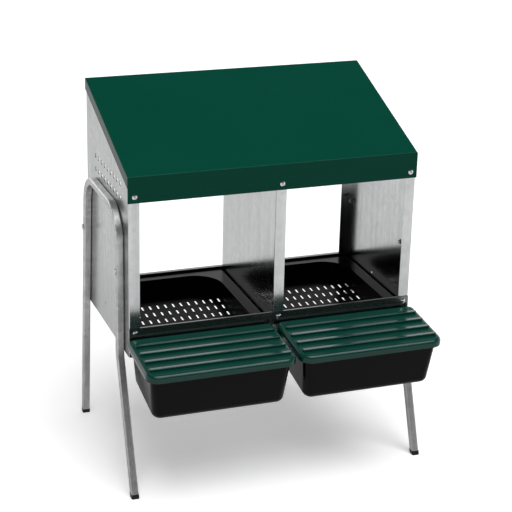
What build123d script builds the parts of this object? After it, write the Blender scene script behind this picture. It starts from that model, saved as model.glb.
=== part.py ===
"""Raised two-bay nesting box: galvanised body on tube legs, green roof, roll-out egg boxes with hinged lids.

Millimetres, +Z up. The front looks along -Y and the ground is Z = 0.
"""
import os
from math import atan2, cos, radians, sin, tan

from build123d import *

os.makedirs("parts", exist_ok=True)

# Body sizes
body_width = 600.0
body_depth = 318.0
front_height = 366.0
rear_height = 479.0
base = 285.0
panel_drop = 8.0
sheet = 1.5
flange = 22.0
bend = 2.0
gap = 0.2

# Side panel openings
vent_start = 58.5
vent_pitch = 23.3
vent_count = 9
vent_radius = 5.0
vent_height = 321.0
vent_row_gap = 28.0
pin_hole_y = 180.0
pin_hole_z = 38.0
pin_hole_radius = 2.2

# Roof
fascia_height = 53.0
roof_drop = 24.0
corner_slit = 2.0

# Rails
rail_bottom = 26.5
rail_top = 54.0
rail_lip = 4.0
rear_rail_bottom = -6.0
rear_rail_top = 34.0
rear_rail_lip = 9.0

# Blind rivets
rivet_x = 288.0
middle_rivet_x = 12.0
roof_rivet_z = 325.0
rail_rivet_z = 44.0
rear_rivet_drop = 14.0
rear_rail_rivet_z = 18.0
rivet_radius = 2.0
rivet_hole = 2.2
head_radius = 5.2
head_rim = 0.5
head_height = 1.8
mandrel_radius = 1.3
mandrel_depth = 3.0
tail_radius = 3.0
tail_length = 2.4

# Nest pans
pan_offset = 149.5
pan_width = 293.0
pan_front = 8.0
pan_rear = 6.0
pan_top = 29.5
pan_wall = 2.5
pan_rest = 0.3
tub_width = 245.0
tub_ahead = 40.0
tub_rear = 24.0
tub_corner = 60.0
tub_taper = 10.0
tub_depth = 40.0
floor_front_z = -18.0
floor_slope = radians(3.7)
slot_length = 20.0
slot_width = 4.5
slot_pitch = 17.0
slot_count = 14
slot_rows = 7
slot_row_pitch = 31.5
slot_rear_row = 224.0
boss_x = 84.0
boss_y = 241.0
boss_radius = 4.0
boss_height = 2.0

# Egg boxes, measured from the lid axis in a frame that tips down to the front
box_offset = 155.7
axis_out = 18.0
axis_up = 26.1
tilt = radians(5.1)
box_top = 5.2
box_width = 287.0
box_rear = 13.5
box_front = -132.0
box_side_draft = 9.0
egg_floor_z = -60.0
egg_floor_rear = 3.0
egg_floor_front = -139.0
egg_floor_fall = radians(10.0)
box_wall = 2.5
swing_radius = 13.4
gate_half = 112.0
gate_sill = -21.5
cheek_inner = 123.0
cheek_outer = 144.0
cheek_top = 25.5
cheek_bottom = -5.0
peg_z = 12.0
peg_radius = 3.0

# Lids
lid_half = 152.0
lid_rear = 13.0
lid_front = -143.6
lid_top = 8.0
lid_skirt = -7.0
lid_wall = 2.5
lid_round = 8.0
lid_lip = 3.2
lid_corner = 24.0
lid_rear_corner = 14.0
rib_count = 4
rib_pitch = 31.7
rib_first = -22.8
rib_length = 288.0
rib_width = 9.0
rib_height = 5.6
rib_fall = 1.1
rib_round = 1.2

# Lid pins
pin_radius = 2.0
pin_running = 0.05
pin_press = 0.02
ear_radius = 4.5
ear_inner = 138.0
ear_outer = 144.0
knuckle_inner = 144.5
knuckle_outer = 149.0
knuckle_radius = 6.0
knuckle_hole_end = 148.3
pin_inner = 138.5
pin_outer = 148.0

# Leg frames
tube = 15.0
tube_wall = 1.5
tube_corner = 3.0
front_foot_y = -62.0
front_leg_y = 42.0
kink_z = -14.0
crossbar_z = 282.5
rear_bend_y = 287.0
rear_foot_y = 338.0
kink_bend = 40.0
crossbar_bend = 62.0
bolt_radius = 3.0
bolt_hole = 3.2
front_bolt_z = 160.0
rear_bolt_z = 165.0
bolt_head_radius = 6.0
bolt_head_height = 3.5
washer_radius = 6.5
washer_height = 1.2
nut_across = 10.0
nut_height = 5.0
bolt_end = 290.0
cap_side = 16.0
cap_height = 8.0
spigot_side = 11.4
spigot_length = 15.0

# Derived places: the lid front and the rear feet reach as far as each other from the origin
rear_lean = atan2(rear_foot_y - rear_bend_y, base + crossbar_z)
front_lean = atan2(front_leg_y - front_foot_y, base + kink_z)
front_reach = axis_out - (lid_front + lid_round) * cos(tilt) + (lid_top - lid_round) * sin(tilt) + lid_round
rear_reach = rear_foot_y + cap_side / 2 / cos(rear_lean)
front = (front_reach - rear_reach) / 2
rear = front + body_depth
middle = front + body_depth / 2
low = base - panel_drop
half = body_width / 2
lap = sheet + gap
slope = atan2(rear_height - front_height, body_depth)
roof_half = half + lap
roof_front_z = base + front_height - lap * tan(slope)
roof_rear_z = base + rear_height + lap * tan(slope)
roof_plane = Plane(
    origin=(0, front, base + front_height),
    x_dir=(1, 0, 0),
    z_dir=(0, -sin(slope), cos(slope)),
)
floor_plane = Plane(
    origin=(0, front + pan_front, base + floor_front_z),
    x_dir=(1, 0, 0),
    z_dir=(0, -sin(floor_slope), cos(floor_slope)),
)
leg_x = half + gap + tube / 2
rear_bolt_y = rear_bend_y + (crossbar_z - rear_bolt_z) * tan(rear_lean)
bolt_places = [
    (front + front_leg_y, base + front_bolt_z),
    (front + rear_bolt_y, base + rear_bolt_z),
]
rivet_columns = [-rivet_x, middle_rivet_x, rivet_x]
front_plane = Plane.XZ.offset(-front)
rear_plane = Plane.XZ.offset(-rear)
hands = [("left", -1), ("right", 1)]


def tray_plane(centre):
    """Plane on the lid axis of one bay, with its Z square to the lid."""
    return Plane(
        origin=(centre, front - axis_out, base + axis_up),
        x_dir=(1, 0, 0),
        z_dir=(0, -sin(tilt), cos(tilt)),
    )


def side_plane(centre):
    """Upright plane across the lid axis: X runs to the rear of the lid and Y is square to the lid."""
    return Plane(
        origin=(centre, front - axis_out, base + axis_up),
        x_dir=(0, cos(tilt), sin(tilt)),
        z_dir=(1, 0, 0),
    )


def rivet(x, face, z, out):
    """Blind rivet along Y: domed head with the mandrel's hole, stem, and an end upset inside the sheets."""
    grip = lap + sheet + gap
    with BuildPart() as shape:
        with BuildSketch(Plane(origin=(x, face, z), x_dir=(1, 0, 0), z_dir=(0, 0, out))):
            with BuildLine():
                dome = ThreePointArc(
                    (mandrel_radius, head_height),
                    (0.65 * head_radius, head_rim + 0.6 * (head_height - head_rim)),
                    (head_radius, head_rim),
                )
                Polyline(
                    dome @ 1,
                    (head_radius, gap / 2),
                    (rivet_radius, gap / 2),
                    (rivet_radius, -grip),
                    (tail_radius, -grip),
                    (tail_radius, -grip - tail_length),
                    (0, -grip - tail_length),
                    (0, -mandrel_depth),
                    (mandrel_radius, -mandrel_depth),
                    dome @ 0,
                )
            make_face()
        revolve(axis=Axis((x, face, z), (0, 1, 0)))
    return shape.part


def tub(centre, grow, top):
    """Tapered tub of a nest pan, cut off by its sloping floor."""
    middle_y = front + (body_depth - tub_rear - tub_ahead) / 2
    length = body_depth - tub_rear + tub_ahead
    with BuildPart() as shape:
        with BuildSketch(Plane.XY.offset(base + top)):
            with Locations((centre, middle_y)):
                RectangleRounded(tub_width + 2 * grow, length + 2 * grow, tub_corner + grow)
        with BuildSketch(Plane.XY.offset(base - tub_depth)):
            with Locations((centre, middle_y)):
                low_grow = grow - tub_taper
                RectangleRounded(tub_width + 2 * low_grow, length + 2 * low_grow, tub_corner + grow)
        loft()
        split(bisect_by=floor_plane.offset(-grow), keep=Keep.TOP)
    return shape.part


def tray(centre, inset, top):
    """Drafted egg box shape with rounded lower edges and a floor that falls to the front."""
    floor = Plane(
        origin=(centre, front, base + egg_floor_z),
        x_dir=(1, 0, 0),
        z_dir=(0, -sin(egg_floor_fall), cos(egg_floor_fall)),
    )
    low_width = box_width - 2 * box_side_draft
    with BuildPart() as shape:
        with BuildSketch(tray_plane(centre).offset(top)):
            with Locations((0, (box_rear + box_front) / 2)):
                RectangleRounded(box_width - 2 * inset, box_rear - box_front - 2 * inset, 12)
        with BuildSketch(floor.offset(inset)):
            with Locations((0, (egg_floor_rear + egg_floor_front) / 2)):
                RectangleRounded(low_width - 2 * inset, egg_floor_rear - egg_floor_front - 2 * inset, 20)
        loft()
        fillet(shape.faces().sort_by(Axis.Z)[0].edges(), 14)
    return shape.part


def lid_block(plane, step):
    """Lid shape with a rounded top edge, set in by a step on the sides and the top."""
    with BuildPart() as shape:
        with BuildSketch(plane.offset(lid_skirt)) as plan:
            with Locations((0, (lid_rear + lid_front) / 2)):
                Rectangle(2 * (lid_half - step), lid_rear - lid_front - 2 * step)
            fillet(plan.vertices().group_by(Axis.Y)[0], lid_corner - step)
            fillet(plan.vertices().group_by(Axis.Y)[-1], lid_rear_corner - step)
        extrude(amount=lid_top - lid_skirt - step)
        fillet(shape.faces().sort_by(Axis(plane.origin, plane.z_dir))[-1].edges(), lid_round - step)
    return shape.part


# Side panels
for hand, side in hands:
    with BuildPart() as side_panel:
        with BuildSketch(Plane.XY.offset(low)) as panel_plan:
            with Locations((side * (half - flange / 2), middle)):
                Rectangle(flange, body_depth)
            fillet(panel_plan.vertices().filter_by(lambda v: abs(v.X) > half - 1), bend)
            with Locations((side * (half - sheet - flange / 2), middle)):
                Rectangle(flange, body_depth - 2 * sheet, mode=Mode.SUBTRACT)
        extrude(amount=panel_drop + rear_height)
        split(bisect_by=roof_plane.offset(-lap), keep=Keep.BOTTOM)
        with Locations((side * (half - flange / 2 - sheet / 2), middle, low + sheet / 2)):
            Box(flange - sheet, body_depth - 2 * sheet, sheet)
        with BuildSketch(Plane.YZ.offset(side * half)):
            with Locations((front + vent_start + vent_pitch * (vent_count - 1) / 2, base + vent_height)):
                with GridLocations(vent_pitch, vent_row_gap, vent_count, 2):
                    Circle(vent_radius)
            with Locations(*bolt_places):
                Circle(bolt_hole)
            with Locations((front + pin_hole_y, base + pin_hole_z)):
                Circle(pin_hole_radius)
        extrude(amount=2 * sheet, both=True, mode=Mode.SUBTRACT)
        with BuildSketch(front_plane):
            with Locations((side * rivet_x, base + roof_rivet_z), (side * rivet_x, base + rail_rivet_z)):
                Circle(rivet_hole)
            with Locations((side * (box_offset + (cheek_inner + cheek_outer) / 2), base + peg_z)):
                Circle(peg_radius + gap)
        extrude(amount=2 * sheet, both=True, mode=Mode.SUBTRACT)
        with BuildSketch(rear_plane):
            with Locations((side * rivet_x, base + rear_height - rear_rivet_drop), (side * rivet_x, base + rear_rail_rivet_z)):
                Circle(rivet_hole)
        extrude(amount=2 * sheet, both=True, mode=Mode.SUBTRACT)
    side_panel.part.label = f"{hand}_side_panel"
    export_step(side_panel.part, f"parts/{hand}_side_panel.step")

# Centre divider
with BuildPart() as centre_divider:
    with BuildSketch(Plane.XY.offset(low)) as divider_plan:
        with Locations((flange / 2, middle)):
            Rectangle(flange, body_depth)
        fillet(divider_plan.vertices().filter_by(lambda v: v.X < 1), bend)
        with Locations((sheet + flange / 2, middle)):
            Rectangle(flange, body_depth - 2 * sheet, mode=Mode.SUBTRACT)
    extrude(amount=panel_drop + rear_height)
    split(bisect_by=roof_plane.offset(-lap), keep=Keep.BOTTOM)
    with Locations((-flange / 2 + sheet / 2, front + body_depth / 4, low + sheet / 2)):
        Box(flange, body_depth / 2 - 20, sheet)
    with Locations((flange / 2, rear - body_depth / 4, low + sheet / 2)):
        Box(flange, body_depth / 2 - 20, sheet)
    with BuildSketch(front_plane):
        with Locations((middle_rivet_x, base + roof_rivet_z), (middle_rivet_x, base + rail_rivet_z)):
            Circle(rivet_hole)
    extrude(amount=2 * sheet, both=True, mode=Mode.SUBTRACT)
    with BuildSketch(rear_plane):
        with Locations((middle_rivet_x, base + rear_height - rear_rivet_drop), (middle_rivet_x, base + rear_rail_rivet_z)):
            Circle(rivet_hole)
    extrude(amount=2 * sheet, both=True, mode=Mode.SUBTRACT)
centre_divider.part.label = "centre_divider"
export_step(centre_divider.part, "parts/centre_divider.step")

# Roof sheet
with BuildPart() as roof_sheet:
    with BuildSketch(Plane.YZ.offset(-roof_half)):
        with BuildLine():
            Polyline(
                (front - lap, roof_front_z - roof_drop),
                (front - lap, roof_front_z),
                (rear + lap, roof_rear_z),
                (rear + lap, roof_rear_z - roof_drop),
                close=True,
            )
        make_face()
    extrude(amount=2 * roof_half)
    fillet(roof_sheet.faces().filter_by(lambda f: f.normal_at().Z > 0.8)[0].edges(), bend)
    with Locations((0, front - gap - sheet / 2, roof_front_z - 4 - (fascia_height - 4) / 2)):
        Box(2 * roof_half, sheet, fascia_height - 4)
    with BuildSketch(Plane.YZ.offset(-half - gap)):
        with BuildLine():
            Polyline(
                (front - gap, base + front_height / 2),
                (front - gap, base + front_height - gap * tan(slope) - sheet / cos(slope)),
                (rear + gap, base + rear_height + gap * tan(slope) - sheet / cos(slope)),
                (rear + gap, base + front_height / 2),
                close=True,
            )
        make_face()
    extrude(amount=2 * (half + gap), mode=Mode.SUBTRACT)
    with BuildSketch(Plane.YZ):
        with Locations((front - gap + corner_slit / 2, roof_front_z - roof_drop / 2 - 4)):
            Rectangle(corner_slit, roof_drop)
    extrude(amount=2 * roof_half, both=True, mode=Mode.SUBTRACT)
    with BuildSketch(front_plane):
        with Locations(*[(x, base + roof_rivet_z) for x in rivet_columns]):
            Circle(rivet_hole)
    extrude(amount=2 * sheet, both=True, mode=Mode.SUBTRACT)
    with BuildSketch(rear_plane):
        with Locations(*[(x, base + rear_height - rear_rivet_drop) for x in rivet_columns]):
            Circle(rivet_hole)
    extrude(amount=2 * sheet, both=True, mode=Mode.SUBTRACT)
roof_sheet.part.label = "roof_sheet"
export_step(roof_sheet.part, "parts/roof_sheet.step")

# Front rail with a lip folded inwards between the posts
with BuildPart() as front_rail:
    with Locations((0, front - gap - sheet / 2, base + (rail_bottom + rail_top) / 2)):
        Box(body_width, sheet, rail_top - rail_bottom)
    lip_y = front - lap + rail_lip / 2
    lip_z = base + rail_top - sheet / 2
    with Locations(((flange - half) / 2, lip_y, lip_z)):
        Box(half - flange - 2, rail_lip, sheet)
    with Locations((half / 2, lip_y, lip_z)):
        Box(half - 2 * flange - 2, rail_lip, sheet)
    with BuildSketch(front_plane):
        with Locations(*[(x, base + rail_rivet_z) for x in rivet_columns]):
            Circle(rivet_hole)
    extrude(amount=2 * sheet, both=True, mode=Mode.SUBTRACT)
front_rail.part.label = "front_rail"
export_step(front_rail.part, "parts/front_rail.step")

# Rear rail with a lip folded outwards
with BuildPart() as rear_rail:
    with Locations((0, rear + gap + sheet / 2, base + (rear_rail_bottom + rear_rail_top) / 2)):
        Box(body_width - 4, sheet, rear_rail_top - rear_rail_bottom)
    with Locations((0, rear + gap + rear_rail_lip / 2, base + rear_rail_top - sheet / 2)):
        Box(body_width - 4, rear_rail_lip, sheet)
    with BuildSketch(rear_plane):
        with Locations(*[(x, base + rear_rail_rivet_z) for x in rivet_columns]):
            Circle(rivet_hole)
    extrude(amount=2 * sheet, both=True, mode=Mode.SUBTRACT)
rear_rail.part.label = "rear_rail"
export_step(rear_rail.part, "parts/rear_rail.step")

# Roof rivets, front and rear
with BuildPart() as roof_rivets:
    for x in rivet_columns:
        add(rivet(x, front - lap, base + roof_rivet_z, -1))
        add(rivet(x, rear + lap, base + rear_height - rear_rivet_drop, 1))
roof_rivets.part.label = "roof_rivets"
export_step(roof_rivets.part, "parts/roof_rivets.step")

# Rail rivets
with BuildPart() as rail_rivets:
    for x in rivet_columns:
        add(rivet(x, front - lap, base + rail_rivet_z, -1))
rail_rivets.part.label = "rail_rivets"
export_step(rail_rivets.part, "parts/rail_rivets.step")

# Rear rail rivets
with BuildPart() as rear_rail_rivets:
    for x in rivet_columns:
        add(rivet(x, rear + lap, base + rear_rail_rivet_z, 1))
rear_rail_rivets.part.label = "rear_rail_rivets"
export_step(rear_rail_rivets.part, "parts/rear_rail_rivets.step")

# Nest pans: skirted rim, tub open to the front, slotted floor
for hand, side in hands:
    centre = side * pan_offset
    tub_shell = tub(centre, pan_wall, pan_top)
    tub_void = tub(centre, 0, pan_top + 5)
    rim_length = body_depth - pan_front - pan_rear
    rim_middle = front + pan_front + rim_length / 2
    skirt_bottom = sheet + pan_rest - panel_drop
    with BuildPart() as nest_pan:
        with BuildSketch(Plane.XY.offset(base + skirt_bottom)):
            with Locations((centre, rim_middle)):
                RectangleRounded(pan_width, rim_length, 8)
        extrude(amount=pan_top - skirt_bottom)
        fillet(nest_pan.faces().sort_by(Axis.Z)[-1].edges(), 2.4)
        with BuildSketch(Plane.XY.offset(base + skirt_bottom)):
            with Locations((centre, rim_middle)):
                RectangleRounded(pan_width - 2 * pan_wall, rim_length - 2 * pan_wall, 6)
        extrude(amount=pan_top - skirt_bottom - pan_wall, mode=Mode.SUBTRACT)
        add(tub_shell)
        with Locations((centre, front + pan_front - tub_ahead, base)):
            Box(pan_width, 2 * tub_ahead, 4 * tub_depth, mode=Mode.SUBTRACT)
        add(tub_void, mode=Mode.SUBTRACT)
        with BuildSketch(Plane.XY.offset(base - tub_depth)):
            with Locations((centre, front + slot_rear_row - slot_row_pitch * (slot_rows - 1) / 2)):
                with GridLocations(slot_pitch, slot_row_pitch, slot_count, slot_rows):
                    SlotOverall(slot_length, slot_width, rotation=90)
        extrude(amount=tub_depth + 8, mode=Mode.SUBTRACT)
        boss_floor = base + floor_front_z + (boss_y - pan_front) * tan(floor_slope)
        with BuildSketch(Plane.XY.offset(boss_floor - pan_wall / 2)):
            with Locations((centre - boss_x, front + boss_y), (centre + boss_x, front + boss_y)):
                Circle(boss_radius)
        extrude(amount=pan_wall / 2 + boss_height)
    nest_pan.part.label = f"{hand}_nest_pan"
    export_step(nest_pan.part, f"parts/{hand}_nest_pan.step")

# Egg boxes, lids and lid pins
for hand, side in hands:
    centre = side * box_offset
    box_plane = tray_plane(centre)
    cross_plane = side_plane(centre)
    tray_shell = tray(centre, 0, box_top)
    tray_void = tray(centre, box_wall, box_top + 6)
    lid_shell = lid_block(box_plane, 0)
    lid_void = lid_block(box_plane, lid_wall)
    cheek_middle = (cheek_inner + cheek_outer) / 2
    with BuildPart() as egg_box:
        add(tray_shell)
        add(tray_void, mode=Mode.SUBTRACT)
        with BuildSketch(cross_plane):
            Circle(swing_radius)
            with Locations((1 - swing_radius, 0)):
                Rectangle(2 * swing_radius, 2 * swing_radius, mode=Mode.SUBTRACT)
        extrude(amount=box_width / 2 + 1, both=True, mode=Mode.SUBTRACT)
        with Locations((centre, front, base + gate_sill + 40)):
            Box(2 * gate_half, 32, 80, mode=Mode.SUBTRACT)
        with Locations((centre, front + 1, base + gate_sill - box_wall / 2)):
            Box(2 * gate_half, 9, box_wall)
        for end in (-1, 1):
            with Locations((centre + end * cheek_middle, front - 2.7, base + (cheek_top + cheek_bottom) / 2)):
                Box(cheek_outer - cheek_inner, 3, cheek_top - cheek_bottom)
            with BuildSketch(cross_plane.offset(end * ear_inner)):
                Circle(ear_radius)
            extrude(amount=end * (ear_outer - ear_inner))
            with BuildSketch(cross_plane.offset(end * (pin_inner - 0.1))):
                Circle(pin_radius + pin_press)
            extrude(amount=end * (ear_outer - pin_inner + 1), mode=Mode.SUBTRACT)
        with BuildSketch(Plane.XZ.offset(-(front - 2))):
            with Locations((centre + side * cheek_middle, base + peg_z)):
                Circle(peg_radius)
        extrude(amount=-7)
    egg_box.part.label = f"{hand}_egg_box"
    export_step(egg_box.part, f"parts/{hand}_egg_box.step")

    with BuildPart() as lid:
        add(lid_shell)
        add(lid_void, mode=Mode.SUBTRACT)
        with BuildSketch(cross_plane):
            with Locations(((lid_rear + 2) / 2, (lid_skirt + lid_lip) / 2)):
                Rectangle(lid_rear - 2, lid_lip - lid_skirt)
        extrude(amount=lid_half + 1, both=True, mode=Mode.SUBTRACT)
        with BuildSketch(box_plane.offset(lid_top - lid_wall / 2)):
            for rib in range(rib_count):
                with Locations((0, rib_first - rib * rib_pitch)):
                    SlotOverall(rib_length, rib_width)
        extrude(amount=lid_wall / 2 + rib_height)
        with BuildSketch(cross_plane):
            for rib in range(rib_count):
                rib_front = rib_first - rib * rib_pitch - rib_width / 2
                with BuildLine():
                    Polyline(
                        (rib_front, lid_top + rib_height),
                        (rib_front + rib_width, lid_top + rib_height - rib_fall),
                        (rib_front + rib_width, lid_top + rib_height + 1),
                        (rib_front, lid_top + rib_height + 1),
                        close=True,
                    )
                make_face()
        extrude(amount=lid_half, both=True, mode=Mode.SUBTRACT)
        rib_tops = lid.faces().filter_by(GeomType.PLANE).sort_by(Axis(box_plane.origin, box_plane.z_dir))[-rib_count:]
        fillet(rib_tops.edges(), rib_round)
        for end in (-1, 1):
            with BuildSketch(cross_plane.offset(end * knuckle_inner)):
                Circle(knuckle_radius)
            extrude(amount=end * (knuckle_outer - knuckle_inner))
            with BuildSketch(cross_plane.offset(end * (knuckle_inner - 1))):
                Circle(pin_radius + pin_running)
            extrude(amount=end * (knuckle_hole_end - knuckle_inner + 1), mode=Mode.SUBTRACT)
    lid.part.label = f"{hand}_lid"
    export_step(lid.part, f"parts/{hand}_lid.step")

    with BuildPart() as lid_pins:
        for end in (-1, 1):
            with BuildSketch(cross_plane.offset(end * pin_inner)):
                Circle(pin_radius)
            extrude(amount=end * (pin_outer - pin_inner))
    lid_pins.part.label = f"{hand}_lid_pins"
    export_step(lid_pins.part, f"parts/{hand}_lid_pins.step")

# Leg frames bent from one square tube each
for hand, side in hands:
    with BuildPart() as leg_frame:
        with BuildLine(Plane.YZ.offset(side * leg_x)) as leg_path:
            FilletPolyline(
                (front + front_foot_y, 0),
                (front + front_leg_y, base + kink_z),
                (front + front_leg_y, base + crossbar_z),
                (front + rear_bend_y, base + crossbar_z),
                (front + rear_foot_y, 0),
                radius=[kink_bend, crossbar_bend, crossbar_bend],
            )
        with BuildSketch(Plane(origin=leg_path.line @ 0, x_dir=(1, 0, 0), z_dir=leg_path.line % 0)):
            RectangleRounded(tube, tube, tube_corner)
            RectangleRounded(tube - 2 * tube_wall, tube - 2 * tube_wall, tube_corner - tube_wall, mode=Mode.SUBTRACT)
        sweep()
        split(bisect_by=Plane.XY.offset(cap_height + gap), keep=Keep.TOP)
        with BuildSketch(Plane.YZ.offset(side * leg_x)):
            with Locations(*bolt_places):
                Circle(bolt_hole)
        extrude(amount=tube, both=True, mode=Mode.SUBTRACT)
    leg_frame.part.label = f"{hand}_leg_frame"
    export_step(leg_frame.part, f"parts/{hand}_leg_frame.step")

# Foot caps, cut flat on the ground, with a spigot up the tube
for hand, side in hands:
    for place, foot_y, lean in (("front", front_foot_y, front_lean), ("rear", rear_foot_y, -rear_lean)):
        leg_run = Vector(0, sin(lean), cos(lean))
        with BuildPart() as foot_cap:
            with BuildSketch(Plane.XY):
                with Locations((side * leg_x, front + foot_y)):
                    RectangleRounded(cap_side, cap_side / cos(lean), tube_corner)
            extrude(amount=cap_height / cos(lean), dir=leg_run)
            with BuildSketch(Plane.XY.offset(cap_height)):
                with Locations((side * leg_x, front + foot_y + cap_height * tan(lean))):
                    RectangleRounded(spigot_side, spigot_side / cos(lean), tube_corner - tube_wall)
            extrude(amount=spigot_length, dir=leg_run)
        foot_cap.part.label = f"{hand}_{place}_foot_cap"
        export_step(foot_cap.part, f"parts/{hand}_{place}_foot_cap.step")

# Leg bolts with round heads outside the tubes
with BuildPart() as leg_bolts:
    for hand, side in hands:
        with BuildSketch(Plane.YZ.offset(side * (leg_x + tube / 2 + gap / 2))):
            with Locations(*bolt_places):
                Circle(bolt_head_radius)
        extrude(amount=side * bolt_head_height)
    bolt_edges = leg_bolts.edges().filter_by(GeomType.CIRCLE).group_by(Axis.X)
    fillet(bolt_edges[0] + bolt_edges[-1], bolt_head_height / 2)
    for hand, side in hands:
        with BuildSketch(Plane.YZ.offset(side * bolt_end)):
            with Locations(*bolt_places):
                Circle(bolt_radius)
        extrude(amount=side * (leg_x + tube / 2 + gap - bolt_end))
leg_bolts.part.label = "leg_bolts"
export_step(leg_bolts.part, "parts/leg_bolts.step")

# Washers inside the panels
with BuildPart() as leg_washers:
    for hand, side in hands:
        with BuildSketch(Plane.YZ.offset(side * (half - sheet - gap))):
            with Locations(*bolt_places):
                Circle(washer_radius)
                Circle(bolt_hole, mode=Mode.SUBTRACT)
        extrude(amount=-side * washer_height)
leg_washers.part.label = "leg_washers"
export_step(leg_washers.part, "parts/leg_washers.step")

# Nuts on the washers
with BuildPart() as leg_nuts:
    for hand, side in hands:
        with BuildSketch(Plane.YZ.offset(side * (half - sheet - 2 * gap - washer_height))):
            with Locations(*bolt_places):
                RegularPolygon(nut_across / 2, 6, major_radius=False)
                Circle(bolt_hole - 0.1, mode=Mode.SUBTRACT)
        extrude(amount=-side * nut_height)
leg_nuts.part.label = "leg_nuts"
export_step(leg_nuts.part, "parts/leg_nuts.step")
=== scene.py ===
"""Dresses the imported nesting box: finishes, studio light and the camera.

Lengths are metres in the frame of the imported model: +Z up, the front looks along -Y, the ground is Z = 0.
"""
import logging
import math
from dataclasses import dataclass, field
from enum import Enum
from typing import ClassVar

import bpy
from mathutils import Matrix, Vector

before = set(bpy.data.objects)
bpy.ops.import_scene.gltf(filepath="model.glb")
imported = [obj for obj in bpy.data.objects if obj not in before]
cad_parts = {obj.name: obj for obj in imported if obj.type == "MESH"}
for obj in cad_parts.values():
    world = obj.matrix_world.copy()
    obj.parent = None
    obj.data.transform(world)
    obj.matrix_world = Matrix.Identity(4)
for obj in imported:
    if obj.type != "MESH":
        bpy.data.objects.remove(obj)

log = logging.getLogger("nesting_box")

Colour = tuple[float, float, float, float]

# How far a full bump stands out of a surface
BUMP_HEIGHT = 0.0004


def grey(level: float) -> Colour:
    """Gives a neutral colour.

    Args:
        level: Its share of white.

    Returns:
        The opaque colour.
    """
    return (level, level, level, 1.0)


class Ray(Enum):
    """Light Path outputs that tell rays apart."""

    CAMERA = "Is Camera Ray"
    GLOSSY = "Is Glossy Ray"
    TRANSMISSION = "Is Transmission Ray"


class NodeSheet:
    """Small helper that adds and links nodes in one node tree."""

    def __init__(self, tree: bpy.types.NodeTree) -> None:
        """Keeps the tree and clears it.

        Args:
            tree: Node tree to fill.
        """
        self.tree = tree
        self.tree.nodes.clear()

    def add(self, kind: str, inputs: dict | None = None, **settings: object) -> bpy.types.Node:
        """Adds one node.

        Args:
            kind: Blender's node type name.
            inputs: Socket values or output sockets to link, by socket name or index.
            settings: Properties of the node itself.

        Returns:
            The new node.
        """
        node = self.tree.nodes.new(kind)
        for name, value in settings.items():
            setattr(node, name, value)
        for key, value in (inputs or {}).items():
            if isinstance(value, bpy.types.NodeSocket):
                self.tree.links.new(value, node.inputs[key])
            else:
                node.inputs[key].default_value = value
        return node

    def math(self, operation: str, first: object, second: object = 0.0) -> bpy.types.NodeSocket:
        """Adds a math node.

        Args:
            operation: Name of the math operation.
            first: First value or socket.
            second: Second value or socket.

        Returns:
            The result socket.
        """
        return self.add("ShaderNodeMath", {0: first, 1: second}, operation=operation).outputs[0]

    def mix(self, factor: object, first: object, second: object) -> bpy.types.NodeSocket:
        """Mixes two colours.

        Args:
            factor: Share of the second colour.
            first: Colour or socket at factor 0.
            second: Colour or socket at factor 1.

        Returns:
            The mixed colour socket.
        """
        inputs = {0: factor, 6: first, 7: second}
        return self.add("ShaderNodeMix", inputs, data_type="RGBA").outputs[2]

    def noise(self, place: bpy.types.NodeSocket, scale: float, detail: float) -> bpy.types.NodeSocket:
        """Adds cloudy noise.

        Args:
            place: Coordinate socket.
            scale: How fine the clouds are.
            detail: How many finer layers they have.

        Returns:
            The noise value socket.
        """
        return self.add("ShaderNodeTexNoise", {"Vector": place, "Scale": scale, "Detail": detail}).outputs[0]

    def spread(self, value: bpy.types.NodeSocket, low: float, high: float) -> bpy.types.NodeSocket:
        """Maps a value from 0..1 to a range.

        Args:
            value: Socket to map.
            low: Result at 0.
            high: Result at 1.

        Returns:
            The mapped socket.
        """
        return self.add("ShaderNodeMapRange", {0: value, 3: low, 4: high}).outputs[0]

    def bump(self, height: bpy.types.NodeSocket, depth: float) -> bpy.types.NodeSocket:
        """Turns a height into a normal.

        Args:
            height: Height socket, 0..1.
            depth: Share of the full bump height.

        Returns:
            The normal socket.
        """
        inputs = {"Strength": depth, "Distance": BUMP_HEIGHT, "Height": height}
        return self.add("ShaderNodeBump", inputs).outputs[0]


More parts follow.
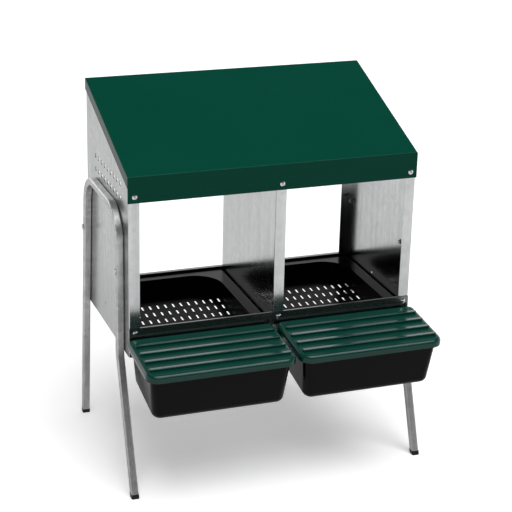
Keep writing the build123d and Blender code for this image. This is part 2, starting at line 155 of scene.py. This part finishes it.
@dataclass(frozen=True)
class NodeGroups:
    """Shader node groups that several finishes share."""

    streaks: bpy.types.NodeTree
    spangle: bpy.types.NodeTree
    grain: bpy.types.NodeTree

    streak_low: ClassVar[float] = 0.3
    streak_high: ClassVar[float] = 0.7
    warp_scale: ClassVar[float] = 60.0
    warp_detail: ClassVar[float] = 2.0
    warp_push: ClassVar[float] = 0.012
    grain_detail: ClassVar[float] = 3.0
    grain_roughness: ClassVar[float] = 0.6

    @staticmethod
    def _new(name: str, sockets: dict[str, str], output: str) -> tuple[bpy.types.NodeTree, NodeSheet]:
        """Starts a group with its sockets.

        Args:
            name: Name of the group.
            sockets: Input names and their socket types.
            output: Name of the single float output.

        Returns:
            The tree and a sheet to fill it with.
        """
        tree = bpy.data.node_groups.new(name, "ShaderNodeTree")
        for socket, kind in sockets.items():
            tree.interface.new_socket(socket, in_out="INPUT", socket_type=kind)
        tree.interface.new_socket(output, in_out="OUTPUT", socket_type="NodeSocketFloat")
        return tree, NodeSheet(tree)

    @classmethod
    def make(cls) -> "NodeGroups":
        """Builds the groups once.

        Returns:
            All shared groups.
        """
        return cls(cls._streaks(), cls._spangle(), cls._grain())

    @classmethod
    def _streaks(cls) -> bpy.types.NodeTree:
        """Long soft streaks, as rolling leaves on sheet metal.

        Returns:
            A group that gives 0..1.
        """
        tree, sheet = cls._new(
            "rolled_streaks",
            {"Vector": "NodeSocketVector", "Stretch": "NodeSocketVector", "Detail": "NodeSocketFloat"},
            "Streak",
        )
        given = sheet.add("NodeGroupInput")
        drawn = sheet.add("ShaderNodeVectorMath", {0: given.outputs[0], 1: given.outputs[1]}, operation="MULTIPLY")
        noise = sheet.noise(drawn.outputs[0], 1.0, given.outputs[2])
        ramp = sheet.add("ShaderNodeMapRange", {0: noise, 1: cls.streak_low, 2: cls.streak_high})
        sheet.add("NodeGroupOutput", {0: ramp.outputs[0]})
        return tree

    @classmethod
    def _spangle(cls) -> bpy.types.NodeTree:
        """Zinc crystals, one grey level to each crystal.

        Returns:
            A group that gives 0..1.
        """
        tree, sheet = cls._new(
            "zinc_spangle", {"Vector": "NodeSocketVector", "Scale": "NodeSocketFloat"}, "Crystal"
        )
        given = sheet.add("NodeGroupInput")
        warp = sheet.add(
            "ShaderNodeTexNoise", {"Vector": given.outputs[0], "Scale": cls.warp_scale, "Detail": cls.warp_detail}
        )
        push = sheet.add("ShaderNodeVectorMath", {0: warp.outputs[1], 3: cls.warp_push}, operation="SCALE")
        bent = sheet.add("ShaderNodeVectorMath", {0: given.outputs[0], 1: push.outputs[0]}, operation="ADD")
        cells = sheet.add("ShaderNodeTexVoronoi", {"Vector": bent.outputs[0], "Scale": given.outputs[1]})
        level = sheet.add("ShaderNodeSeparateColor", {0: cells.outputs["Color"]})
        sheet.add("NodeGroupOutput", {0: level.outputs[0]})
        return tree

    @classmethod
    def _grain(cls) -> bpy.types.NodeTree:
        """Fine moulded or sprayed surface grain.

        Returns:
            A group that gives 0..1.
        """
        tree, sheet = cls._new("fine_grain", {"Vector": "NodeSocketVector", "Scale": "NodeSocketFloat"}, "Height")
        given = sheet.add("NodeGroupInput")
        noise = sheet.add(
            "ShaderNodeTexNoise",
            {
                "Vector": given.outputs[0],
                "Scale": given.outputs[1],
                "Detail": cls.grain_detail,
                "Roughness": cls.grain_roughness,
            },
        )
        sheet.add("NodeGroupOutput", {0: noise.outputs[0]})
        return tree


@dataclass(frozen=True)
class Finish:
    """Base of the finishes: starts a material and places shared groups in it."""

    name: str

    def start(self) -> tuple[bpy.types.Material, NodeSheet, bpy.types.NodeSocket]:
        """Starts the material with its Object coordinates.

        Returns:
            The material, its node sheet and the coordinate socket.
        """
        material = bpy.data.materials.new(self.name)
        material.use_nodes = True
        sheet = NodeSheet(material.node_tree)
        place = sheet.add("ShaderNodeTexCoord").outputs["Object"]
        return material, sheet, place

    def build(self, groups: NodeGroups) -> bpy.types.Material:
        """Makes the material, in each kind of finish in its own way.

        Args:
            groups: Shared node groups.

        Returns:
            The finished material.
        """
        raise NotImplementedError

    @staticmethod
    def group(sheet: NodeSheet, tree: bpy.types.NodeTree, inputs: dict) -> bpy.types.NodeSocket:
        """Places a shared group.

        Args:
            sheet: Sheet of the material.
            tree: Shared group.
            inputs: Its input values.

        Returns:
            The group's output.
        """
        return sheet.add("ShaderNodeGroup", inputs, node_tree=tree).outputs[0]


@dataclass(frozen=True)
class ZincSheet(Finish):
    """Galvanised sheet or tube: bright metal with streaks and faint crystals, and painted shade that darkens it
    near the ground.
    """

    bright: Colour
    dull: Colour
    stretch: tuple[float, float, float]
    smooth: float
    rough: float
    brushed: float = 0.0
    metal: float = 1.0
    edge_shade: float = 0.75
    # Painted shade near the ground: full below shade_full_below, none above shade_none_above, the tone scaled
    # there by painted_shade_level
    shade_full_below: float = 0.0
    shade_none_above: float = 0.01
    painted_shade_level: float = 1.0
    streak_detail: float = 3.0
    streak_share: float = 0.35
    crystal_scale: float = 90.0
    crystal_share: float = 0.25
    cloud_scale: float = 9.0
    cloud_detail: float = 2.0
    cloud_share: float = 0.5
    grain_scale: float = 700.0
    grain_depth: float = 0.06

    def build(self, groups: NodeGroups) -> bpy.types.Material:
        """Makes the material.

        Args:
            groups: Shared node groups.

        Returns:
            The finished material.
        """
        material, sheet, place = self.start()
        tone = self._tone(sheet, place, groups)
        colour = sheet.mix(tone, self.dull, self.bright)
        rough = sheet.spread(tone, self.rough, self.smooth)
        fine = self.group(sheet, groups.grain, {0: place, 1: self.grain_scale})
        round_up = sheet.add("ShaderNodeTangent", direction_type="RADIAL", axis="Z")
        shader = sheet.add(
            "ShaderNodeBsdfPrincipled",
            {
                "Base Color": colour,
                "Metallic": self.metal,
                "Roughness": rough,
                "Specular Tint": grey(self.edge_shade),
                "Anisotropic": self.brushed,
                "Normal": sheet.bump(fine, self.grain_depth),
                "Tangent": round_up.outputs[0],
            },
        )
        sheet.add("ShaderNodeOutputMaterial", {0: shader.outputs[0]})
        return material

    def _tone(
        self, sheet: NodeSheet, place: bpy.types.NodeSocket, groups: NodeGroups
    ) -> bpy.types.NodeSocket:
        """Joins streaks, crystals and clouds, and darkens them near the ground with painted shade.

        Args:
            sheet: Sheet of the material.
            place: Its coordinate socket.
            groups: Shared node groups.

        Returns:
            How bright the metal is, about 0..1.
        """
        streak = self.group(sheet, groups.streaks, {0: place, 1: self.stretch, 2: self.streak_detail})
        crystal = self.group(sheet, groups.spangle, {0: place, 1: self.crystal_scale})
        cloud = sheet.noise(place, self.cloud_scale, self.cloud_detail)
        tone = sheet.math("MULTIPLY", streak, self.streak_share)
        tone = sheet.math("ADD", tone, sheet.math("MULTIPLY", crystal, self.crystal_share))
        tone = sheet.math("ADD", tone, sheet.math("MULTIPLY", cloud, self.cloud_share))
        # Painted shade: the metal's tone is scaled down towards the ground, standing in for the darker reflections
        # there
        height = sheet.add("ShaderNodeSeparateXYZ", {0: place}).outputs[2]
        painted_low_shade = sheet.add(
            "ShaderNodeMapRange", {0: height, 1: self.shade_full_below, 2: self.shade_none_above, 3: self.painted_shade_level, 4: 1.0}
        )
        return sheet.math("MULTIPLY", tone, painted_low_shade.outputs[0])


@dataclass(frozen=True)
class CoatedSheet(Finish):
    """Coloured coat on steel sheet, smooth with a faint orange peel."""

    colour: Colour
    worn: Colour
    gloss: float
    roughness: float
    rough_spread: float = 0.06
    cloud_scale: float = 5.0
    cloud_detail: float = 4.0
    peel_scale: float = 420.0
    peel_depth: float = 0.08

    def build(self, groups: NodeGroups) -> bpy.types.Material:
        """Makes the material.

        Args:
            groups: Shared node groups.

        Returns:
            The finished material.
        """
        material, sheet, place = self.start()
        cloud = sheet.noise(place, self.cloud_scale, self.cloud_detail)
        peel = self.group(sheet, groups.grain, {0: place, 1: self.peel_scale})
        shader = sheet.add(
            "ShaderNodeBsdfPrincipled",
            {
                "Base Color": sheet.mix(cloud, self.colour, self.worn),
                "Roughness": sheet.spread(
                    cloud, self.roughness - self.rough_spread, self.roughness + self.rough_spread
                ),
                "Specular IOR Level": self.gloss,
                "Normal": sheet.bump(peel, self.peel_depth),
            },
        )
        sheet.add("ShaderNodeOutputMaterial", {0: shader.outputs[0]})
        return material


@dataclass(frozen=True)
class MouldedPlastic(Finish):
    """Moulded plastic with fine grain and slight colour clouds."""

    colour: Colour
    pale: Colour
    gloss: float
    roughness: float
    coat: float = 0.0
    coat_roughness: float = 0.1
    rough_spread: float = 0.05
    cloud_scale: float = 14.0
    cloud_detail: float = 3.0
    grain_scale: float = 900.0
    grain_depth: float = 0.05

    def build(self, groups: NodeGroups) -> bpy.types.Material:
        """Makes the material.

        Args:
            groups: Shared node groups.

        Returns:
            The finished material.
        """
        material, sheet, place = self.start()
        cloud = sheet.noise(place, self.cloud_scale, self.cloud_detail)
        fine = self.group(sheet, groups.grain, {0: place, 1: self.grain_scale})
        shader = sheet.add(
            "ShaderNodeBsdfPrincipled",
            {
                "Base Color": sheet.mix(cloud, self.colour, self.pale),
                "Roughness": sheet.spread(
                    cloud, self.roughness - self.rough_spread, self.roughness + self.rough_spread
                ),
                "Specular IOR Level": self.gloss,
                "Coat Weight": self.coat,
                "Coat Roughness": self.coat_roughness,
                "Normal": sheet.bump(fine, self.grain_depth),
            },
        )
        sheet.add("ShaderNodeOutputMaterial", {0: shader.outputs[0]})
        return material


@dataclass
class SubAssembly:
    """Base of the sub-assemblies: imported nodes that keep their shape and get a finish."""

    def finishes(self) -> dict[tuple[str, ...], Finish]:
        """Gives each finish by the endings of the node names that it is for."""
        raise NotImplementedError

    def dress(self, groups: NodeGroups) -> list[str]:
        """Gives each node its finish.

        Args:
            groups: Shared node groups.

        Returns:
            Names of the nodes that were dressed.
        """
        dressed = []
        for endings, finish in self.finishes().items():
            material = finish.build(groups)
            for name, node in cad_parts.items():
                if name.endswith(endings):
                    node.data.materials.clear()
                    node.data.materials.append(material)
                    dressed.append(name)
                    log.info("dressed %s as %s", name, material.name)
        return dressed


@dataclass
class Housing(SubAssembly):
    """Side panels, centre divider, rails and roof."""

    # The sides get painted shade that darkens them towards the ground
    sides: ZincSheet = ZincSheet(
        "galvanised_sides", (0.6, 0.605, 0.605, 1), (0.36, 0.365, 0.37, 1), (110.0, 110.0, 3.0),
        smooth=0.12, rough=0.22, brushed=0.6, shade_full_below=0.29, shade_none_above=0.5, painted_shade_level=0.35,
    )
    panel: ZincSheet = ZincSheet(
        "galvanised_sheet", (0.58, 0.585, 0.585, 1), (0.42, 0.425, 0.43, 1), (90.0, 90.0, 3.0),
        smooth=0.14, rough=0.24, brushed=0.6,
    )
    # The rail's zinc is much darker than the other sheet: partly its own dark tone, partly painted reflection of
    # the dark lids in front of it
    strip: ZincSheet = ZincSheet("rail_strip", grey(0.2), grey(0.12), (4.0, 120.0, 120.0), smooth=0.2, rough=0.3)
    coat: CoatedSheet = CoatedSheet(
        "roof_green_coat", (0.001, 0.061, 0.038, 1), (0.0015, 0.065, 0.041, 1), gloss=0.06, roughness=0.22
    )

    def finishes(self) -> dict[tuple[str, ...], Finish]:
        """Lists the finishes.

        Returns:
            Each finish by the endings of the node names that it is for.
        """
        return {
            ("side_panel",): self.sides,
            ("centre_divider",): self.panel,
            ("_rail",): self.strip,
            ("roof_sheet",): self.coat,
        }


@dataclass
class Legs(SubAssembly):
    """Bent tube frames and the plugs in their ends."""

    # The tubes get painted shade that darkens their lower legs
    tube: ZincSheet = ZincSheet(
        "galvanised_tube", (0.72, 0.72, 0.715, 1), grey(0.26), (260.0, 260.0, 4.0),
        smooth=0.26, rough=0.42, shade_full_below=0.05, shade_none_above=0.42, painted_shade_level=0.5, metal=0.75,
    )
    cap: MouldedPlastic = MouldedPlastic("cap_plastic", grey(0.012), grey(0.02), gloss=0.2, roughness=0.4)

    def finishes(self) -> dict[tuple[str, ...], Finish]:
        """Gives each finish by the endings of the node names that it is for."""
        return {("leg_frame",): self.tube, ("foot_cap",): self.cap}


@dataclass
class Fasteners(SubAssembly):
    """Rivets, bolts, washers, nuts and hinge pins."""

    plate: ZincSheet = ZincSheet(
        "zinc_plate", (0.6, 0.6, 0.59, 1), (0.48, 0.48, 0.47, 1), (40.0, 40.0, 40.0), smooth=0.16, rough=0.28
    )

    def finishes(self) -> dict[tuple[str, ...], Finish]:
        """Gives each finish by the endings of the node names that it is for."""
        return {("rivets", "bolts", "washers", "nuts", "pins"): self.plate}


@dataclass
class Trays(SubAssembly):
    """Nest pans, egg boxes and the lids on them."""

    pan: MouldedPlastic = MouldedPlastic("black_plastic", grey(0.002), grey(0.003), gloss=0.045, roughness=0.22)
    box: MouldedPlastic = MouldedPlastic("box_plastic", grey(0.0008), grey(0.0012), gloss=0.08, roughness=0.22)
    lid: MouldedPlastic = MouldedPlastic(
        "green_plastic", (0.003, 0.046, 0.034, 1), (0.004, 0.052, 0.039, 1), gloss=0.2, roughness=0.17, coat=0.1
    )

    def finishes(self) -> dict[tuple[str, ...], Finish]:
        """Gives each finish by the endings of the node names that it is for."""
        return {("nest_pan",): self.pan, ("egg_box",): self.box, ("_lid",): self.lid}


@dataclass
class ViewCamera:
    """Camera at the photograph's viewing angle."""

    yaw: float = 0.3568
    pitch: float = 0.3651
    roll: float = 0.025
    lens: float = 108.44
    sensor: float = 36.0
    farthest: float = 100.0
    target: Vector = field(default_factory=lambda: Vector((-0.0393, -0.092485, 0.4637)))
    distance: float = 3.0539

    def build(self) -> bpy.types.Object:
        """Makes the camera and gives it to the scene.

        Returns:
            The camera object.
        """
        ahead = Vector((
            math.sin(self.yaw) * math.cos(self.pitch),
            math.cos(self.yaw) * math.cos(self.pitch),
            -math.sin(self.pitch),
        ))
        level = Vector((math.cos(self.yaw), -math.sin(self.yaw), 0.0))
        upright = level.cross(ahead)
        right = level * math.cos(self.roll) + upright * math.sin(self.roll)
        up = upright * math.cos(self.roll) - level * math.sin(self.roll)
        data = bpy.data.cameras.new("view_camera")
        data.lens = self.lens
        data.sensor_width = self.sensor
        data.clip_end = self.farthest
        camera = bpy.data.objects.new("view_camera", data)
        bpy.context.scene.collection.objects.link(camera)
        turn = Matrix((right, up, -ahead)).transposed().to_4x4()
        camera.matrix_world = Matrix.Translation(self.target - ahead * self.distance) @ turn
        bpy.context.scene.camera = camera
        return camera


@dataclass
class Studio:
    """Pale floor, white surroundings, one wide soft lamp and a key lamp that only glints.

    The floor has its own tone for each kind of ray: floor_tone to the eye, floor_mirror in reflections and
    floor_bounce as light. lift and mirror_lift are its glow to the eye and in reflections. In reflections the
    surroundings fall from horizon at the height sky_start to overhead at sky_end. That height is measured along
    an axis that leans forwards.
    """

    floor_size: float = 40.0
    floor_tone: float = 1.0
    floor_bounce: float = 0.32
    floor_mirror: float = 0.82
    lift: float = 0.35
    mirror_lift: float = 0.34
    fill: float = 0.2
    horizon: float = 2.3
    overhead: float = 0.06
    sky_start: float = 0.05
    sky_end: float = 0.4
    lean: float = 0.25
    lamp_distance: float = 4.0
    soft_power: float = 2.4
    soft_angle: float = 0.9
    soft_from: Vector = field(default_factory=lambda: Vector((0.08, -0.4, 1.0)))
    key_power: float = 0.5
    key_angle: float = 0.6
    key_from: Vector = field(default_factory=lambda: Vector((0.36, -0.1, 1.0)))

    def build(self) -> None:
        """Makes the floor, the world and the lamps."""
        self._floor()
        self._world()
        self._lamp("soft_lamp", self.soft_power, self.soft_angle, self.soft_from)
        glint = self._lamp("key_lamp", self.key_power, self.key_angle, self.key_from)
        glint.visible_diffuse = False

    @staticmethod
    def _plain_sight(sheet: NodeSheet, path: bpy.types.Node) -> bpy.types.NodeSocket:
        """Joins the rays that look straight at the backdrop.

        Args:
            sheet: Sheet to work in.
            path: Its Light Path node.

        Returns:
            Socket that is 1 for those rays.
        """
        return sheet.math("MAXIMUM", path.outputs[Ray.CAMERA.value], path.outputs[Ray.TRANSMISSION.value])

    def _floor(self) -> None:
        """Lays the floor."""
        bpy.ops.object.select_all(action="DESELECT")
        bpy.ops.mesh.primitive_plane_add(size=self.floor_size, location=(0.0, 0.0, 0.0))
        floor = bpy.context.object
        floor.name = "studio_floor"
        material = bpy.data.materials.new("studio_floor")
        material.use_nodes = True
        sheet = NodeSheet(material.node_tree)
        path = sheet.add("ShaderNodeLightPath")
        plain = self._plain_sight(sheet, path)
        glossy = path.outputs[Ray.GLOSSY.value]
        unmirrored = sheet.mix(plain, grey(self.floor_bounce), grey(self.floor_tone))
        tone = sheet.mix(glossy, unmirrored, grey(self.floor_mirror))
        paint = sheet.add("ShaderNodeBsdfDiffuse", {"Color": tone})
        mirrored = sheet.math("MULTIPLY", glossy, self.mirror_lift)
        strength = sheet.math("ADD", sheet.math("MULTIPLY", plain, self.lift), mirrored)
        glow = sheet.add("ShaderNodeEmission", {"Strength": strength})
        both = sheet.add("ShaderNodeAddShader", {0: paint.outputs[0], 1: glow.outputs[0]})
        sheet.add("ShaderNodeOutputMaterial", {0: both.outputs[0]})
        floor.data.materials.append(material)

    def _world(self) -> None:
        """Makes the surroundings white to the eye, softer as light, and dimmer overhead in reflections."""
        world = bpy.data.worlds.new("studio_world")
        bpy.context.scene.world = world
        world.use_nodes = True
        sheet = NodeSheet(world.node_tree)
        path = sheet.add("ShaderNodeLightPath")
        towards = sheet.add("ShaderNodeTexCoord").outputs["Generated"]
        axis = (0.0, -math.sin(self.lean), math.cos(self.lean))
        height = sheet.add("ShaderNodeVectorMath", {0: towards, 1: axis}, operation="DOT_PRODUCT").outputs["Value"]
        sky = sheet.add(
            "ShaderNodeMapRange",
            {0: height, 1: self.sky_start, 2: self.sky_end, 3: self.horizon, 4: self.overhead},
        )
        glossy = path.outputs[Ray.GLOSSY.value]
        mirrored = sheet.math("MULTIPLY", sky.outputs[0], glossy)
        plain = self._plain_sight(sheet, path)
        lit = sheet.math("SUBTRACT", 1.0, sheet.math("MAXIMUM", plain, glossy))
        strength = sheet.math("ADD", sheet.math("ADD", mirrored, plain), sheet.math("MULTIPLY", lit, self.fill))
        glow = sheet.add("ShaderNodeBackground", {"Color": grey(1.0), "Strength": strength})
        sheet.add("ShaderNodeOutputWorld", {0: glow.outputs[0]})

    def _lamp(self, name: str, power: float, angle: float, place: Vector) -> bpy.types.Object:
        """Hangs one lamp whose light falls evenly, as from far off.

        Args:
            name: Name of the lamp.
            power: Its strength.
            angle: How wide it looks from the object, in radians.
            place: Direction that it shines from.

        Returns:
            The lamp.
        """
        data = bpy.data.lights.new(name, "SUN")
        data.energy = power
        data.angle = angle
        lamp = bpy.data.objects.new(name, data)
        lamp.location = place * self.lamp_distance
        lamp.rotation_euler = (-place).to_track_quat("-Z", "Y").to_euler()
        bpy.context.scene.collection.objects.link(lamp)
        return lamp


def main() -> None:
    """Builds the whole picture in order."""
    logging.basicConfig(level=logging.INFO, format="%(name)s: %(message)s")
    bpy.context.scene.view_settings.view_transform = "Standard"
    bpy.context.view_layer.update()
    ViewCamera().build()
    Studio().build()
    groups = NodeGroups.make()
    dressed = []
    for assembly in (Housing(), Legs(), Fasteners(), Trays()):
        dressed += assembly.dress(groups)
    log.info("dressed %d of %d nodes", len(dressed), len(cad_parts))


if __name__ == "__main__":
    main()
